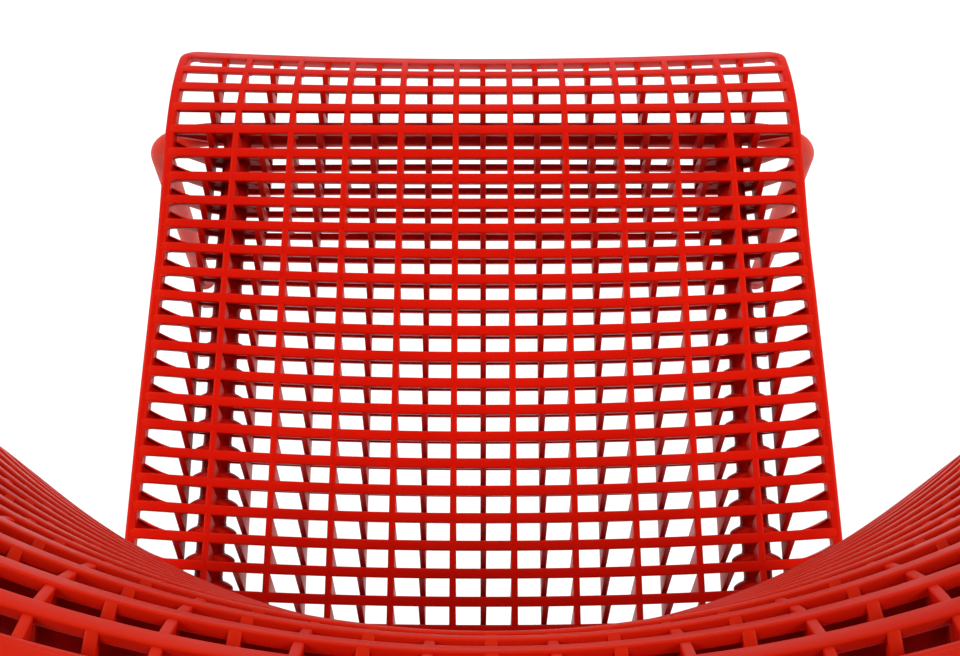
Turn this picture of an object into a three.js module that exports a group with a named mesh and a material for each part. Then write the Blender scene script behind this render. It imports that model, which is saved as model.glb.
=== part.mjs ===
// A grid-shell chair: a lattice seat panel and a wrapped lattice back panel on a tubular frame.
// Millimetres, +Z up. The sitter faces -Y. The origin is on the floor, in the middle of the footprint.
import * as THREE from 'three';

// ---------- Driving dimensions ----------
const datumY = 92.8;              // where the seat's datum line lies behind the origin
const datumZ = 425;              // height of the seat's datum line above the floor
const seatTilt = 5;              // degrees, the seat's rear is lower
const gap = 0.35;                // clearance between touching pieces

const slatWidth = 6.5;
const ribWidth = 4.2;
const railWidth = 6.5;
const ribCount = 10;             // full-height ribs between the seat's two side rails

const lipRadius = 95;            // waterfall front of the seat
const lipStartHeading = 44;      // degrees, how steeply the front edge rises
const frontBarReach = 8;         // the front bar, ahead of the first slat's middle
const lipStart = [-328, -6];     // front edge from the datum, (y, z)
const seatFlatLength = 330;
const seatSlats = 25;
const seatPitch = 16.4;          // first slat spacing
const seatPitchGrowth = 0.06;    // added to the spacing at each slat
// Stops are [distance along the panel, value].
const seatRibPitches = [[0, 35.8], [430, 40.2]];
const seatHalfWidths = [[0, 210], [66, 211.5], [141, 213.5], [182, 216], [270, 222.8], [430, 234.2]];
const seatBows = [[0, 6], [60, 1], [110, 1], [230, 8], [430, 8]];   // how far each slat's ends trail its middle
const seatDish = 8;              // how far the side rails stand above the middle
const seatDishStops = [[60, 0], [180, 1]];   // the dish grows behind the lip
const seatCornerRadius = 14;
const webDepthMiddle = 27;       // depth of the slat webs between the side beams
const webDepthRail = 9;
const webDepthLip = 14;          // over the front tube
const webDepths = [[71, webDepthLip], [84, webDepthMiddle]];
const webDepthBeam = 12;         // over the side beams

const backFoot = [62.5, 23.4];   // bottom bar of the back from the datum, (y, z)
const backHeading = 92.6;        // degrees, the back leans a little forward as it rises
const backStretches = [[291, 0], [55, -14.6], [56, -46]];   // length and turn: the top rolls backwards
const backRimWidth = 14;         // plain band along the top
const backSlats = 20;
const backPitch = 20.4;
const backWingRibs = 2;          // extra ribs in each wing, outside the ten that line up with the seat
const backDepth = 24;
const backWidest = 292;          // half the width round the wrap, at its widest
const backWidestAt = 230;        // how far up the panel that is
const backBottomHalf = 218;
const backTopHalf = 250;
const backCornerRadius = 60;
const backRibPitches = [[0, 40.2], [388, 45.5]];
const backCurvatures = [[0, 0.0023], [140, 0.00264], [225, 0.00259], [306, 0.00225], [402, 0.0015]];   // per mm

const tubeRadius = 8;
const tubeSides = 12;
const halfCircleSides = tubeSides / 2;
const frontTube = { y: -275, z: -5.5, corner: 224.5, foot: 275, footY: -277, bendReach: 54 };
const rearTube = { y: 76, z: -46.5, corner: 226, foot: 262, footY: 142, bendReach: 34 };
const frameSteps = 56;
const beamDepth = 25;            // beam axis below the seat datum plane
const beamFrontX = 167;
const beamRearX = 182;
const postX = 100;
const postLean = 20;             // how far each back post leans forward over its height
const postTop = 338;             // top of the posts above the datum

const glideHeight = 14;
const glideRadius = 11;
const endTilt = 2;               // room for the slanted tube end above its glide
const capHeight = 4;
const padSize = [14, 34, 6];
const padAt = { front: -170, rear: 30 };      // how far along the beams the pads sit, from the datum
const screwRadius = 4.5;
const screwHeight = 2.6;
const seatScrewAt = { front: -215, rear: 0 };
const backScrewAt = { lower: 60, middle: 190, upper: 305 };

const red = 0xd01a06;
const frameRed = 0xc41a08;
const zinc = 0xb9bcc0;
const footRed = 0xb01c0e;

const radians = THREE.MathUtils.degToRad;

// ---------- Shapes ----------

// A path in the side view, made of straight and circular stretches, each [length, turn in degrees].
function pathPoint(start, startHeading, stretches, distance) {
  let [y, z] = start;
  let heading = radians(startHeading);
  let left = distance;
  for (const [index, [length, turn]] of stretches.entries()) {
    const last = index === stretches.length - 1;
    const run = last || left < length ? left : length;
    const bend = radians(turn) / length;
    if (bend === 0) {
      y += run * Math.cos(heading);
      z += run * Math.sin(heading);
    } else {
      const next = heading + bend * run;
      y += (Math.sin(next) - Math.sin(heading)) / bend;
      z += (Math.cos(heading) - Math.cos(next)) / bend;
      heading = next;
    }
    left -= run;
    if (left <= 0 && !last) break;
  }
  return { y, z };
}

// Piecewise-linear value through [position, value] stops.
function through(stops, position) {
  if (position <= stops[0][0]) return stops[0][1];
  for (let i = 1; i < stops.length; i += 1) {
    const [p0, v0] = stops[i - 1];
    const [p1, v1] = stops[i];
    if (position <= p1) return v0 + ((v1 - v0) * (position - p0)) / (p1 - p0);
  }
  return stops[stops.length - 1][1];
}

// A closed lattice: bars along both directions with open cells between them.
// place(column, row, under) gives the corner at a bar edge, on the face or on the underside.
function lattice(barColumns, barRows, place) {
  const columns = barColumns * 2;
  const rows = barRows * 2;
  const positions = [];
  for (const under of [false, true]) {
    for (let row = 0; row < rows; row += 1) {
      for (let column = 0; column < columns; column += 1) {
        positions.push(...place(column, row, under).toArray());
      }
    }
  }
  const corner = (column, row, under) => (under ? rows * columns : 0) + row * columns + column;
  const solid = (column, row) => column >= 0 && row >= 0 && column < columns - 1
    && row < rows - 1 && (column % 2 === 0 || row % 2 === 0);
  const indices = [];
  const quad = (a, b, c, d) => indices.push(a, b, c, a, c, d);
  for (let row = 0; row < rows - 1; row += 1) {
    for (let column = 0; column < columns - 1; column += 1) {
      if (!solid(column, row)) continue;
      const face = [[column, row], [column + 1, row], [column + 1, row + 1], [column, row + 1]];
      quad(...face.map(([c, r]) => corner(c, r, false)));
      quad(...face.map(([c, r]) => corner(c, r, true)).reverse());
      const neighbours = [[column, row - 1], [column + 1, row], [column, row + 1], [column - 1, row]];
      neighbours.forEach(([c, r], side) => {
        if (solid(c, r)) return;
        const [c0, r0] = face[side];
        const [c1, r1] = face[(side + 1) % 4];
        quad(corner(c0, r0, false), corner(c0, r0, true), corner(c1, r1, true), corner(c1, r1, false));
      });
    }
  }
  const geometry = new THREE.BufferGeometry();
  geometry.setAttribute('position', new THREE.Float32BufferAttribute(positions, 3));
  geometry.setIndex(indices);
  return geometry;
}

// The offset of a surface point to its underside, square to the surface.
function lowered(surface, across, along, depth) {
  const step = 0.5;
  const point = surface(across, along);
  const sideways = surface(across + step, along).sub(surface(across - step, along));
  const onward = surface(across, along + step).sub(surface(across, along - step));
  return point.addScaledVector(sideways.cross(onward).normalize(), -depth);
}

// How much a rounded corner takes off the half width at a distance from the end.
function cornerInset(radius, distance) {
  if (distance >= radius) return 0;
  const missing = radius - Math.max(distance, 0);
  return radius - Math.sqrt(radius * radius - missing * missing);
}

function fromDatum(x, y, z) {
  return new THREE.Vector3(x, datumY + y, datumZ + z);
}

// ---------- Seat panel ----------

const lipLength = lipRadius * radians(lipStartHeading + seatTilt);
const slatPlace = (slat) => seatPitch * slat + (seatPitchGrowth * slat * (slat - 1)) / 2;
const seatRibPitch = (along) => through(seatRibPitches, along);
const seatHalfWidth = (along) => through(seatHalfWidths, along);

function seatSurface(across, along) {
  const stretches = [[lipLength, -lipStartHeading - seatTilt], [seatFlatLength, 0]];
  const { y, z } = pathPoint(lipStart, lipStartHeading, stretches, along);
  const share = (across / seatHalfWidth(along)) ** 2;
  const bow = through(seatBows, along);
  const rise = seatDish * through(seatDishStops, along);
  return fromDatum(across, y - bow * share, z + rise * share);
}

function panelRibEdge(bars, bar, edge, ribPitch) {
  return (bar - (bars - 1) / 2) * ribPitch + (edge ? ribWidth : -ribWidth) / 2;
}

function seatPanel() {
  const bars = ribCount + 2;
  const ends = slatPlace(seatSlats - 1);
  return lattice(bars, seatSlats, (column, row, under) => {
    const nearEdge = row === 0 ? frontBarReach : slatWidth / 2;
    const along = slatPlace(Math.floor(row / 2)) + (row % 2 ? slatWidth / 2 : -nearEdge);
    const bar = Math.floor(column / 2);
    const rail = bar === 0 || bar === bars - 1;
    const side = bar === 0 ? -1 : 1;
    const inner = (column % 2 === 1) === (side < 0);
    const inset = cornerInset(seatCornerRadius, along + frontBarReach)
      + cornerInset(seatCornerRadius, ends + slatWidth / 2 - along);
    const across = rail
      ? side * (seatHalfWidth(along) - inset - (inner ? railWidth : 0))
      : panelRibEdge(bars, bar, column % 2, seatRibPitch(along));
    if (!under) return seatSurface(across, along);
    if (rail) return lowered(seatSurface, across, along, webDepthRail);
    const overBeam = bar === 1 || bar === bars - 2;
    const depth = overBeam ? webDepthBeam : through(webDepths, along);
    return lowered(seatSurface, across, along, depth);
  });
}

// ---------- Back panel ----------

const backLength = backPitch * (backSlats - 1);
const backRibPitch = (along) => through(backRibPitches, along);
const backCurvature = (along) => through(backCurvatures, along);

// Half the panel's width, measured round its wrap: widest part way up, narrower above and below.
function backHalfArc(along) {
  const below = along < backWidestAt;
  const narrowing = backWidest - (below ? backBottomHalf : backTopHalf);
  const share = (along - backWidestAt) / (below ? backWidestAt : backLength - backWidestAt);
  return backWidest - narrowing * share * share;
}

// across is measured round the wrap of the panel.
function backSurface(across, along) {
  const { y, z } = pathPoint(backFoot, backHeading, backStretches, along);
  const curvature = backCurvature(along);
  const x = Math.sin(across * curvature) / curvature;
  return fromDatum(x, y - (1 - Math.cos(across * curvature)) / curvature, z);
}

function backPanel() {
  const inner = ribCount;
  const bars = inner + backWingRibs * 2 + 2;
  return lattice(bars, backSlats, (column, row, under) => {
    const rim = row === backSlats * 2 - 1;
    const edge = rim ? backRimWidth : (row % 2 ? slatWidth : -slatWidth) / 2;
    const along = backPitch * Math.floor(row / 2) + edge;
    const bar = Math.floor(column / 2);
    const place = bar - (bars - 1) / 2;
    const side = Math.sign(place);
    const rank = Math.abs(place);
    const outermost = (inner - 1) / 2;
    const inset = cornerInset(backCornerRadius, backLength + backRimWidth - along)
      + cornerInset(seatCornerRadius, along + slatWidth / 2);
    const halfArc = backHalfArc(along) - inset;
    const lastInner = outermost * backRibPitch(along);
    const share = (rank - outermost) / (backWingRibs + 1);
    const centre = rank <= outermost ? rank * backRibPitch(along) : lastInner + (halfArc - lastInner) * share;
    const outward = (column % 2 === 1) === (side > 0);
    const rail = bar === 0 || bar === bars - 1;
    const offset = rail ? (outward ? 0 : -railWidth) : (outward ? ribWidth : -ribWidth) / 2;
    const across = side * (centre + offset);
    if (!under) return backSurface(across, along);
    return lowered(backSurface, across, along, rail ? webDepthRail : backDepth);
  });
}

// ---------- Frame ----------

function circle(radius) {
  return new THREE.Shape().absarc(0, 0, radius, 0, Math.PI * 2, false);
}

function tube(path, steps) {
  return new THREE.ExtrudeGeometry(circle(tubeRadius), {
    steps, curveSegments: halfCircleSides, extrudePath: path });
}

// An inverted U: two splayed legs and the cross tube between them, one bent tube.
function legFrame({ y, z, corner, foot, footY, bendReach }) {
  const path = new THREE.CurvePath();
  const footZ = glideHeight + endTilt - datumZ;
  const points = [[-foot, footY, footZ], [-corner, y, z], [corner, y, z], [foot, footY, footZ]];
  const [leftFoot, leftCorner, rightCorner, rightFoot] = points.map((p) => fromDatum(...p));
  const toward = (from, to) => from.clone().addScaledVector(to.clone().sub(from).normalize(), bendReach);
  const bends = [[leftFoot, leftCorner, rightCorner], [leftCorner, rightCorner, rightFoot]];
  let at = leftFoot;
  for (const [before, turn, after] of bends) {
    path.add(new THREE.LineCurve3(at, toward(turn, before)));
    path.add(new THREE.QuadraticBezierCurve3(toward(turn, before), turn, toward(turn, after)));
    at = toward(turn, after);
  }
  path.add(new THREE.LineCurve3(at, rightFoot));
  return tube(path, frameSteps);
}

function beamEnd(side, rear) {
  const end = rear ? rearTube.y - tubeRadius - 2 * gap : frontTube.y + tubeRadius + 2 * gap;
  const z = -end * Math.tan(radians(seatTilt)) - beamDepth;
  return fromDatum(side * (rear ? beamRearX : beamFrontX), end, z);
}

function sideBeam(side) {
  return tube(new THREE.LineCurve3(beamEnd(side, false), beamEnd(side, true)), 1);
}

// The posts stand behind the rear cross tube and lean forward to the back panel.
const postFootY = rearTube.y + tubeRadius * 2 + gap;

function backPost(side) {
  const foot = fromDatum(side * postX, postFootY, rearTube.z - tubeRadius);
  const top = fromDatum(side * postX, postFootY - postLean, postTop);
  return tube(new THREE.LineCurve3(foot, top), 1);
}

function postCap(side) {
  const cap = new THREE.CylinderGeometry(tubeRadius - 2, tubeRadius, capHeight, tubeSides);
  cap.translate(0, capHeight / 2, 0);
  cap.rotateX(Math.PI / 2);
  cap.rotateX(Math.atan(postLean / (postTop - rearTube.z + tubeRadius)));
  const top = fromDatum(side * postX, postFootY - postLean, postTop + gap);
  return cap.translate(top.x, top.y, top.z);
}

// ---------- Feet and fixings ----------

function glide(side, { foot, footY }) {
  const profile = [[0, 0], [glideRadius - 2, 0], [glideRadius, 2], [glideRadius, 5],
    [tubeRadius, glideHeight], [0, glideHeight]].map(([r, z]) => new THREE.Vector2(r, z));
  const solid = new THREE.LatheGeometry(profile, 16);
  solid.rotateX(Math.PI / 2);
  solid.translate(side * foot, datumY + footY, 0);
  return solid;
}

// A pan-head screw standing on +Z, with a driver socket in its head.
function screwHead() {
  const socket = screwRadius / 2;
  const profile = [[0, 0], [screwRadius, 0], [screwRadius, screwHeight / 2],
    [screwRadius * 0.8, screwHeight], [socket, screwHeight], [socket, screwHeight / 2],
    [0, screwHeight / 2]].map(([r, z]) => new THREE.Vector2(r, z));
  return new THREE.LatheGeometry(profile, 10).rotateX(Math.PI / 2);
}

function beamPoint(side, y) {
  const front = beamEnd(side, false);
  const rear = beamEnd(side, true);
  return front.clone().lerp(rear, (datumY + y - front.y) / (rear.y - front.y));
}

// Head under a side beam, driven up into the seat.
function seatScrew(side, y) {
  const at = beamPoint(side, y);
  return screwHead().rotateX(Math.PI).translate(at.x, at.y, at.z - tubeRadius - gap);
}

// Head behind a post, driven forward into the back.
function backScrew(side, z) {
  const height = postTop - rearTube.z + tubeRadius;
  const lean = (postLean * (z - rearTube.z + tubeRadius)) / height;
  const at = fromDatum(side * postX, postFootY - lean + tubeRadius + gap, z);
  return screwHead().rotateX(-Math.PI / 2).translate(at.x, at.y, at.z);
}

// Soft pad under a side beam that rests on the chair below in a stack.
function stackingPad(side, y) {
  const at = beamPoint(side, y);
  const pad = new THREE.BoxGeometry(...padSize).rotateX(-radians(seatTilt));
  return pad.translate(at.x, at.y, at.z - tubeRadius - padSize[2] / 2 - gap);
}

function mesh(name, geometry, color, roughness, metalness) {
  const solid = new THREE.Mesh(geometry, new THREE.MeshStandardMaterial({ color, roughness, metalness }));
  solid.name = name;
  return solid;
}

const chair = new THREE.Group();
chair.add(mesh('seat_panel', seatPanel(), red, 0.4, 0));
chair.add(mesh('back_panel', backPanel(), red, 0.4, 0));
chair.add(mesh('front_leg_frame', legFrame(frontTube), frameRed, 0.45, 0));
chair.add(mesh('rear_leg_frame', legFrame(rearTube), frameRed, 0.45, 0));
for (const [hand, side] of [['left', -1], ['right', 1]]) {
  chair.add(mesh(`${hand}_side_beam`, sideBeam(side), frameRed, 0.45, 0));
  chair.add(mesh(`${hand}_back_post`, backPost(side), frameRed, 0.45, 0));
  chair.add(mesh(`${hand}_post_cap`, postCap(side), red, 0.4, 0));
  for (const [place, y] of Object.entries(padAt)) {
    chair.add(mesh(`${place}_${hand}_stacking_pad`, stackingPad(side, y), footRed, 0.7, 0));
  }
  for (const [place, y] of Object.entries(seatScrewAt)) {
    chair.add(mesh(`${place}_${hand}_seat_screw`, seatScrew(side, y), zinc, 0.35, 1));
  }
  for (const [place, z] of Object.entries(backScrewAt)) {
    chair.add(mesh(`${place}_${hand}_back_screw`, backScrew(side, z), zinc, 0.35, 1));
  }
  chair.add(mesh(`front_${hand}_glide`, glide(side, frontTube), footRed, 0.6, 0));
  chair.add(mesh(`rear_${hand}_glide`, glide(side, rearTube), footRed, 0.6, 0));
}
export default chair;
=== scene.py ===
"""Looks of the lattice chair: fine lattices, drawn tubes, fixings, materials, floor, lights and camera.

Lengths are in millimetres until a point is made, which is in metres. x and y are as in the frame;
"across" runs over a panel from side to side, "along" from its front or bottom bar, "drop" below its face.
A "rank" counts rib pitches from a panel's middle. Stops are (place along a panel, value) pairs.
"""
import math

import bmesh
import bpy
from mathutils import Matrix, Vector


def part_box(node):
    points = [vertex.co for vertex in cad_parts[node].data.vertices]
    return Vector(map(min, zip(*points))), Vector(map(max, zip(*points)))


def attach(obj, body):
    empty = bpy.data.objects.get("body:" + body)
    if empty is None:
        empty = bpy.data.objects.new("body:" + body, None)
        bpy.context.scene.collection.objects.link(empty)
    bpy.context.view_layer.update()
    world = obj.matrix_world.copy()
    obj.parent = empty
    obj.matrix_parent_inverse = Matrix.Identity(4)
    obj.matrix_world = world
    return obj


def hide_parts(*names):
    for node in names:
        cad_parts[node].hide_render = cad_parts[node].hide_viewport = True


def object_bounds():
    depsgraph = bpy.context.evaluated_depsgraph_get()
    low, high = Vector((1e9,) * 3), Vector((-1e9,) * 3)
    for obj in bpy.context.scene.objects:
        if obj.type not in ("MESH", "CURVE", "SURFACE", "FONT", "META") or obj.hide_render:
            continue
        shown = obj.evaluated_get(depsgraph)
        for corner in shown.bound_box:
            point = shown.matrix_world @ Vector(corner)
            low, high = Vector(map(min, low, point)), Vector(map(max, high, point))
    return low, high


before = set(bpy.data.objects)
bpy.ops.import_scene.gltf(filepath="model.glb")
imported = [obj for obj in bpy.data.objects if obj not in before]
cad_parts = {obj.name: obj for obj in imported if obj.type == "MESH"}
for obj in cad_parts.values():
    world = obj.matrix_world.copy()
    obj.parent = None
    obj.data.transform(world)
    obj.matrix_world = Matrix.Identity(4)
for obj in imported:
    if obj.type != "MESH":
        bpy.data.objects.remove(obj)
cad_low, cad_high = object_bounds()

MM = 0.001
TUBE_SHARP_ANGLE = 50
SMALL_PART_SHARP_ANGLE = 40
SCREW_SHARP_ANGLE = 30

# ---------- Tubes ----------

TUBE_RADIUS = 8.0
TUBE_FOOT = 1.2
FRONT_CROSS_Y = -275.0
FRONT_CROSS_Z = -5.5
FRONT_FOOT_Y = -277.0
FRONT_CORNER = 224.5
FRONT_BEND = 52.0
REAR_CORNER = 226.0
REAR_BEND = 34.0
BEAM_RADIUS = 7.2
BEAM_GROWTH = 1.3
BEAM_STEPS = 12
BEAD_RADIUS = 1.5
BEAD_UNEVENNESS = 0.12
BEAD_LUMPS = 11
BEAD_HEIGHT_SHARE = 0.8

# ---------- The design's datum, from the frame ----------

front_low, front_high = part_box("front_leg_frame")
glide_low, glide_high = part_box("front_right_glide")
DATUM_Y = (glide_low.y + glide_high.y) / 2 / MM - FRONT_FOOT_Y
DATUM_Z = front_high.z / MM - TUBE_RADIUS - FRONT_CROSS_Z

# ---------- Seat ----------

SLATS = 25
SLAT_PITCH = 16.4
SLAT_SPREAD = 0.03
SLAT_WIDTH = 6.5
SLAT_HEIGHT = 5.0
SLAT_ROUND = 1.1
CHORD_WIDTH = 4.2
CHORD_HEIGHT = 4.2
CHORD_ROUND = 0.8
FIRST_CHORD = 4
FIRST_GUSSET = 5
FULL_RIBS = 10
LOW_RIB_RANK = 5
RIB_WIDTH = 4.2
LOW_RIB_WIDTH = 3.8
RIB_ROUND = 0.9
RIB_LEAST_DEPTH = 2.4
RIB_START_DEPTH = 3.5
LOW_RIB_DROP = 0.8
LOW_RIB_END_DEPTH = 3.4
LIP_RIB_DEPTH = 11.0
BEAM_RIB = (FULL_RIBS - 1) / 2
RAIL_WIDTH = 6.2
RAIL_HEIGHT = 10.0
SEAT_RAIL_ROUND = 1.7
FRONT_BAR_EXTRA = 5.0
SEAT_TILT = 5.0
SEAT_LENGTH = 430.0
SEAT_NEAR = -7.8
SEAT_CORNER = 13.0
SEAT_FLAT = 330.0
LIP_START = (-328.0, -6.0)
LIP_RADIUS = 95.0
LIP_HEADING = 44.0
SEAT_RIB_PITCH = 35.8
SEAT_RIB_SPREAD = 4.4
SEAT_HALF_WIDTHS = ((0, 210), (66, 211.5), (141, 213.5), (182, 216), (270, 222.8), (430, 234.2))
SEAT_BOWS = ((0, 6), (60, 1), (110, 1.5), (230, 7.5), (430, 8))
SEAT_DISH = 8.0
SEAT_DISH_STOPS = ((60, 0), (180, 1))
WEB_DEPTHS = ((0, 6), (16.4, 12), (33, 20), (49.4, 26), (66, 28.5), (84, 31.5), (116, 30), (133, 25.5),
              (150, 22), (190, 20), (235, 23.5), (270, 26.5), (430, 31))

# ---------- Slat ends: webs, brackets and fillets ----------

END_WEB_CLEAR = 7.0
END_WEB_DROP = 2.0
END_WEB_ROUND = 0.6
GUSSET_LENGTH = 25.0
GUSSET_REACH = 8.8
GUSSET_SWEEP = 1.5
GUSSET_TIP = 0.5
GUSSET_DROP = 8.0
GUSSET_DEPTH = 3.0
GUSSET_ROOT_DEPTH = 5.0
GUSSET_EDGE_WIDTH = 1.0
GUSSET_EDGE_RISE = 2.2
FILLET_RADIUS = 5.5
FILLET_DROP = 0.4
FILLET_RAIL_SHARE = 0.6
SLAT_OVERLAP = 1.5

# ---------- Collars over the side beams ----------

SADDLE_BORE = 6.5
SADDLE_NECK = 9.2
SADDLE_BEAD = 0.3
SADDLE_BEAD_PLACES = (1.6, 1.0, 0.2)
SADDLE_FLARE = 7.0
SADDLE_FLARE_POWER = 1.8
SADDLE_LENGTH = 5.0
SADDLE_TAIL = 4.0
SADDLE_HIGHEST = 13.0
SADDLE_AHEAD = 0.6
SLEEVE_LENGTH = 12.6
SADDLE_ARC_START = -14
SADDLE_ARC = 208

# ---------- Back ----------

BACK_FOOT = (62.5, 23.4)
BACK_HEADING = 92.6
BACK_STRETCHES = ((291.0, 0.0), (55.0, -14.6), (56.0, -46.0))
BACK_ROWS = 20
BACK_PITCH = 20.4
BACK_LENGTH = BACK_PITCH * (BACK_ROWS - 1)
BACK_RIM = 14.0
BACK_RAIL_ROUND = 2.2
BACK_SLAT = 7.6
BACK_SLAT_ROUND = 1.2
BACK_BAR_DEPTH = 5.0
BACK_DEPTH = 24.0
BACK_NEAR = -BACK_SLAT / 2
BACK_FAR = BACK_LENGTH + BACK_RIM
BACK_CORNER = 60.0
BACK_LOW_CORNER = 14.0
BACK_WIDEST = 292.0
BACK_WIDEST_AT = 230.0
BACK_BOTTOM_HALF = 218.0
BACK_TOP_HALF = 250.0
BACK_RIB_PITCH = 40.2
BACK_RIB_SPREAD = 5.3
BACK_FULL_RIBS = 12
BACK_LOW_RIB_RANK = 6
BACK_LOW_RIB_WIDTH = 4.8
BACK_RIB_DROP = 1.3
BACK_SAMPLES = 84
BACK_CURVATURES = ((0, 0.0023), (140, 0.00264), (225, 0.00259), (306, 0.00225), (402, 0.0015))
LAST_SHELF = 16
SHELF_WIDTH = 2.6
SHELF_ROUND = 0.8
SHELF_DROP = 1.0
SHELF_SHORT = 2.0
RECESS_BEHIND = 6.5
RECESS_DROP = 4.5
RECESS_SHORT = 6.0
BACK_WEB_DEPTHS = ((0, BACK_DEPTH), (15 * BACK_PITCH, BACK_DEPTH), (16 * BACK_PITCH, 32.0),
                   (17 * BACK_PITCH, BACK_DEPTH), (BACK_LENGTH, 20.0))

# ---------- Small pieces: (radius, height) steps of turned solids, and the pads ----------

CAP_LIP = ((-0.6, 0.2), (0.0, 0.5), (0.0, 1.4))
CAP_DOME_INSET = 0.5
CAP_DOME_HEIGHT = 2.6
GLIDE_FOOT = ((2.6, 0), (1.2, 0.3), (0.3, 1.2), (0, 2.4), (0.2, 4.2), (0.9, 5.6), (1.1, 7.0), (0.8, 8.0))
GLIDE_TOP = ((1.2, 1.4), (2.0, 0.4), (2.8, 0))
SCREW_HEIGHT = 2.6
SCREW_PROFILE = ((4.2, 0), (4.5, 0.4), (4.5, 1.0), (4.1, 1.9), (3.2, 2.4), (2.3, 2.6), (2.2, 2.5), (2.2, 1.0),
                 (0.0, 0.8))
PAD_HALF_HEIGHT = 2.9
PAD_CLEAR = 1.2
PAD_END = 3.0
PAD_STEPS = 42
PAD_GROOVES = 4
PAD_GROOVE_DEPTH = 0.9
PAD_GROOVE_WIDTH = 0.7
PAD_PLAIN_END = 0.15
PAD_LEAST_ROUND = 0.02
PAD_TIP_WIDTH = 0.8
PAD_TIP_HEIGHT = 0.7
PAD_TOP_ROUND = 0.4
PAD_BOTTOM_ROUND = 1.6
AXIS_RADIUS = 0.02

# ---------- Colours (deep, main and, for mouldings, worn), painted shade and light ---

SEAT_REDS = ((0.50, 0.0035, 0.0008), (0.60, 0.0060, 0.0012), (0.66, 0.022, 0.006))
# The back's reds are a darker copy of the seat's, for the same plastic: painted shade.
BACK_SHADED_REDS = ((0.40, 0.0060, 0.0010), (0.48, 0.0100, 0.0016), (0.55, 0.030, 0.008))
CAP_REDS = ((0.45, 0.006, 0.0015), (0.54, 0.010, 0.003), (0.62, 0.03, 0.01))
PAINT_REDS = ((0.50, 0.014, 0.003), (0.58, 0.022, 0.005))
RUBBER_REDS = ((0.42, 0.012, 0.004), (0.50, 0.060, 0.035))
ZINC_GREYS = ((0.42, 0.43, 0.45), (0.66, 0.66, 0.65))
FLOOR_GREYS = ((0.28, 0.28, 0.28), (0.32, 0.32, 0.32))
WHITE = (1.0, 1.0, 1.0, 1.0)
# Painted shade in hollows: the dark red the colour is mixed towards, how far the occlusion is looked for on
# plastic and on tubes in metres, and the reflection strength in hollows and in the open.
PAINTED_SHADE_RED = (0.38, 0.0015, 0.0004)
PLASTIC_SHADE_REACH = 0.03
TUBE_SHADE_REACH = 0.12
PAINTED_SHADE_SHINE = 0.03
OPEN_SHINE = 0.25
SHINE_TINT = (1.0, 0.22, 0.1, 1.0)
GRAIN_SCALE = 2600.0
FLOOR_GLOW = 0.86
FLOOR_HALF = 14.0
FLOOR_GAP = 0.0003
HORIZON_LIGHT = 0.6
ZENITH_LIGHT = 0.03
HORIZON_HEIGHT = 0.15
ZENITH_HEIGHT = 0.75
SOFT_BOXES = (
    ("front_box", (0.0, -2.3, 2.3), 1.8, 18),
    ("left_box", (-2.0, -0.3, 2.2), 1.2, 53),
    ("right_box", (2.0, -0.3, 2.2), 1.2, 53),
)

# ---------- Camera ----------

CAMERA_OFFSET = (6.5, 37.5, 839.7)
CAMERA_TILT = 11.82
CAMERA_LENS = 48.75
CAMERA_SHIFT = 0.0069


# ---------- Curves and points ----------

def smooth_through(stops, position):
    """A smooth curve through (position, value) stops."""
    if position <= stops[0][0]:
        return stops[0][1]
    if position >= stops[-1][0]:
        return stops[-1][1]
    last = len(stops) - 1
    slopes = []
    for i in range(last + 1):
        low = stops[max(i - 1, 0)]
        high = stops[min(i + 1, last)]
        slopes.append((high[1] - low[1]) / (high[0] - low[0]))
    for i in range(last):
        (p0, v0), (p1, v1) = stops[i], stops[i + 1]
        if position > p1:
            continue
        span = p1 - p0
        t = (position - p0) / span
        ease = t * t * (3 - 2 * t)
        leave = t * (1 - t) * (1 - t)
        arrive = t * t * (t - 1)
        return v0 + (v1 - v0) * ease + span * (slopes[i] * leave + slopes[i + 1] * arrive)


def path_point(start, heading, stretches, distance):
    """A point of a side-view path of straight and round stretches, each (length, turn in degrees)."""
    y, z = start
    heading = math.radians(heading)
    left = distance
    for index, (length, turn) in enumerate(stretches):
        last = index == len(stretches) - 1
        run = left if last or left < length else length
        bend = math.radians(turn) / length
        if bend == 0:
            y += run * math.cos(heading)
            z += run * math.sin(heading)
        else:
            onward = heading + bend * run
            y += (math.sin(onward) - math.sin(heading)) / bend
            z += (math.cos(heading) - math.cos(onward)) / bend
            heading = onward
        left -= run
        if left <= 0 and not last:
            break
    return y, z


def corner_inset(radius, distance):
    """How much a rounded corner takes off the half width at a distance from the end."""
    if distance >= radius:
        return 0.0
    missing = radius - max(distance, 0.0)
    return radius - math.sqrt(max(radius * radius - missing * missing, 0.0))


def panel_edge(half_width, near, far, near_corner, far_corner, along):
    """Half width of a panel at a place along it, its rounded corners taken off."""
    return half_width(along) - corner_inset(near_corner, along - near) - corner_inset(far_corner, far - along)


def from_datum(x, y, z):
    """A point given from the design's datum, as a place in the frame, in metres."""
    return Vector((x, DATUM_Y + y, DATUM_Z + z)) * MM


def box_centre(node):
    """The middle of a node, in millimetres."""
    low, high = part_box(node)
    return (low + high) / 2 / MM


# ---------- Seat surface ----------

def slat_place(slat):
    return SLAT_PITCH * slat + SLAT_SPREAD * slat * (slat - 1)


def seat_half_width(along):
    return smooth_through(SEAT_HALF_WIDTHS, along)


def seat_rib_pitch(along):
    return SEAT_RIB_PITCH + SEAT_RIB_SPREAD * along / SEAT_LENGTH


def seat_bow(along):
    """How far the slats bend forwards at their ends."""
    return smooth_through(SEAT_BOWS, along)


def seat_at(across, along, drop=0.0):
    """A point on the seat's face, or below it."""
    lip = LIP_RADIUS * math.radians(LIP_HEADING + SEAT_TILT)
    stretches = ((lip, -LIP_HEADING - SEAT_TILT), (SEAT_FLAT, 0.0))
    y, z = path_point(LIP_START, LIP_HEADING, stretches, along)
    share = (across / seat_half_width(along)) ** 2
    rise = SEAT_DISH * share * smooth_through(SEAT_DISH_STOPS, along)
    return from_datum(across, y - seat_bow(along) * share, z + rise - drop)


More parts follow.
